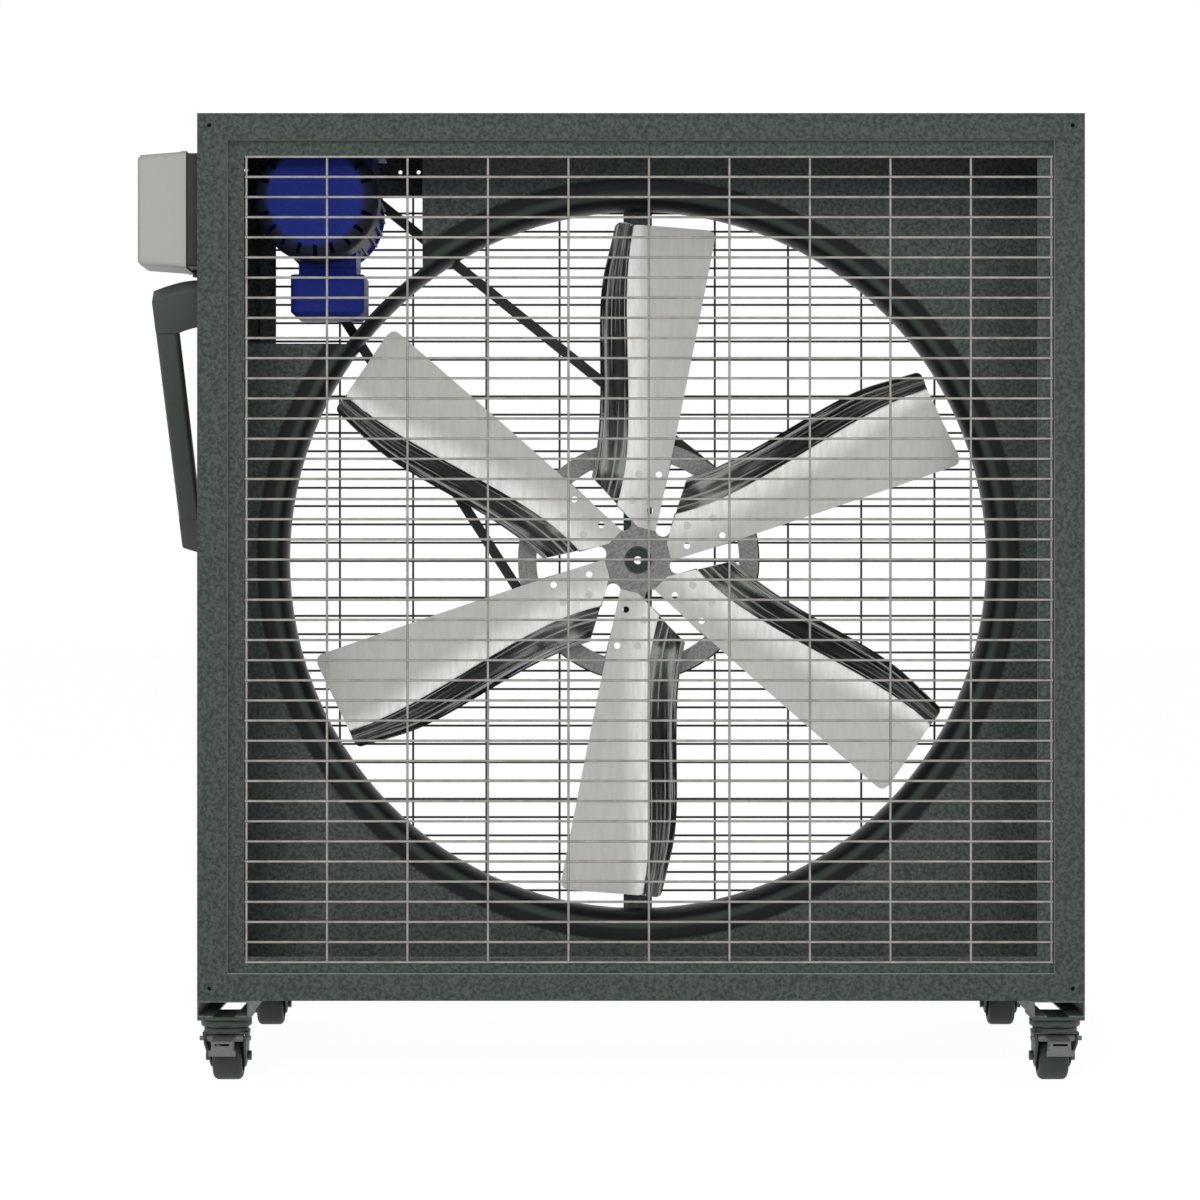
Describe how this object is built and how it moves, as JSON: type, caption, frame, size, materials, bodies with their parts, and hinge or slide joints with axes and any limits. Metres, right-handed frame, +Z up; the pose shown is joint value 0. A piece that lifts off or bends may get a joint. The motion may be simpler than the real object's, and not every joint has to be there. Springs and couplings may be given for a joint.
{
  "type": "portable fan",
  "caption": "Belt-driven axial fan in a square sheet-metal housing with wire grilles, side handle, connection box and braked swivel castors.",
  "frame": {"origin": "middle of the footprint of the whole fan, on the floor", "axes": "+Z up; +Y from the front grille to the rear grille, along the propeller axis; +X to the right seen from the front"},
  "size_m": [1.178, 0.646, 1.2065],
  "materials": {
    "frame_paint": "speckled satin",
    "handle_plastic": "fine grain",
    "front_wire": "galvanised",
    "rear_wire": "dull",
    "dark_steel": "dull",
    "bright_steel": "zinc plated",
    "blade_sheet": "plain sheet",
    "cast_aluminium": "as cast, turned rim",
    "cast_iron": "turned",
    "belt_rubber": "matt",
    "motor_paint": "glossy",
    "black_plastic": "matt",
    "box_plastic": "satin",
    "castor_steel": "satin",
    "castor_rubber": "matt",
    "pedal_steel": "satin"
  },
  "bodies": {
    "housing": {"top_panel": "frame_paint", "bottom_panel": "frame_paint", "left_panel": "frame_paint", "right_panel": "frame_paint", "front_frame": "frame_paint", "rear_frame": "frame_paint", "venturi_panel": "frame_paint", "front_grille": "front_wire", "rear_grille_left": "rear_wire", "rear_grille_right": "rear_wire", "frame_rivets": "dark_steel", "support_bar": "frame_paint", "fan_axle": "bright_steel", "axle_nut": "bright_steel", "axle_washer": "dark_steel", "drive_belt": "belt_rubber", "motor_frame": "motor_paint", "motor_drive_shield": "motor_paint", "motor_cowl": "motor_paint", "motor_slide_base": "bright_steel", "terminal_box": "motor_paint", "terminal_box_lid": "motor_paint", "connection_box_base": "black_plastic", "connection_box_cover": "box_plastic", "cable_gland": "black_plastic", "handle_grip": "handle_plastic", "handle_foot_upper": "handle_plastic", "handle_foot_lower": "handle_plastic", "base_rail_left": "frame_paint", "base_rail_right": "frame_paint", "castor_plate_fl": "bright_steel", "castor_plate_fr": "bright_steel", "castor_plate_rl": "bright_steel", "castor_plate_rr": "bright_steel"},
    "propeller": {"fan_pulley": "cast_aluminium", "hub_bearings": "bright_steel", "blade_rivets": "blade_sheet", "blade_1": "blade_sheet", "blade_2": "blade_sheet", "blade_3": "blade_sheet", "blade_4": "blade_sheet", "blade_5": "blade_sheet", "blade_6": "blade_sheet"},
    "motor_spindle": {"motor_rotor": "bright_steel", "motor_cooling_fan": "black_plastic", "motor_pulley": "cast_iron"},
    "castor_fl": {"castor_fork_fl": "castor_steel", "castor_axle_fl": "bright_steel"},
    "wheel_fl": {"castor_wheel_fl": "castor_rubber"},
    "castor_fr": {"castor_fork_fr": "castor_steel", "castor_axle_fr": "bright_steel"},
    "wheel_fr": {"castor_wheel_fr": "castor_rubber"},
    "castor_rl": {"castor_fork_rl": "castor_steel", "castor_axle_rl": "bright_steel"},
    "wheel_rl": {"castor_wheel_rl": "castor_rubber"},
    "castor_rr": {"castor_fork_rr": "castor_steel", "castor_axle_rr": "bright_steel"},
    "wheel_rr": {"castor_wheel_rr": "castor_rubber"},
    "pedal_fl": {"brake_pedal_fl": "pedal_steel"},
    "pedal_fr": {"brake_pedal_fr": "pedal_steel"}
  },
  "joints": [
    {"name": "propeller_spin", "type": "hinge", "parent": "housing", "child": "propeller", "pos_m": [0.039, 0.019, 0.6565], "axis": [0, 1, 0], "continuous": true},
    {"name": "motor_spin", "type": "hinge", "parent": "housing", "child": "motor_spindle", "pos_m": [-0.371, 0.019, 1.1115], "axis": [0, 1, 0], "continuous": true},
    {"name": "castor_swivel_fl", "type": "hinge", "parent": "housing", "child": "castor_fl", "pos_m": [-0.479, -0.27, 0.071], "axis": [0, 0, 1], "continuous": true},
    {"name": "wheel_spin_fl", "type": "hinge", "parent": "castor_fl", "child": "wheel_fl", "pos_m": [-0.479, -0.244, 0.03], "axis": [1, 0, 0], "continuous": true},
    {"name": "castor_swivel_fr", "type": "hinge", "parent": "housing", "child": "castor_fr", "pos_m": [0.557, -0.27, 0.071], "axis": [0, 0, 1], "continuous": true},
    {"name": "wheel_spin_fr", "type": "hinge", "parent": "castor_fr", "child": "wheel_fr", "pos_m": [0.557, -0.244, 0.03], "axis": [1, 0, 0], "continuous": true},
    {"name": "castor_swivel_rl", "type": "hinge", "parent": "housing", "child": "castor_rl", "pos_m": [-0.479, 0.267, 0.071], "axis": [0, 0, 1], "continuous": true},
    {"name": "wheel_spin_rl", "type": "hinge", "parent": "castor_rl", "child": "wheel_rl", "pos_m": [-0.479, 0.293, 0.03], "axis": [1, 0, 0], "continuous": true},
    {"name": "castor_swivel_rr", "type": "hinge", "parent": "housing", "child": "castor_rr", "pos_m": [0.557, 0.267, 0.071], "axis": [0, 0, 1], "continuous": true},
    {"name": "wheel_spin_rr", "type": "hinge", "parent": "castor_rr", "child": "wheel_rr", "pos_m": [0.557, 0.293, 0.03], "axis": [1, 0, 0], "continuous": true},
    {"name": "brake_pedal_press_fl", "type": "hinge", "parent": "castor_fl", "child": "pedal_fl", "pos_m": [-0.479, -0.284, 0.057], "axis": [1, 0, 0], "range_deg": [0, 11]},
    {"name": "brake_pedal_press_fr", "type": "hinge", "parent": "castor_fr", "child": "pedal_fr", "pos_m": [0.557, -0.284, 0.057], "axis": [1, 0, 0], "range_deg": [0, 11]}
  ],
  "couplings": [
    {"joint": "motor_spin", "follows": "propeller_spin", "ratio": 2.6417}
  ]
}
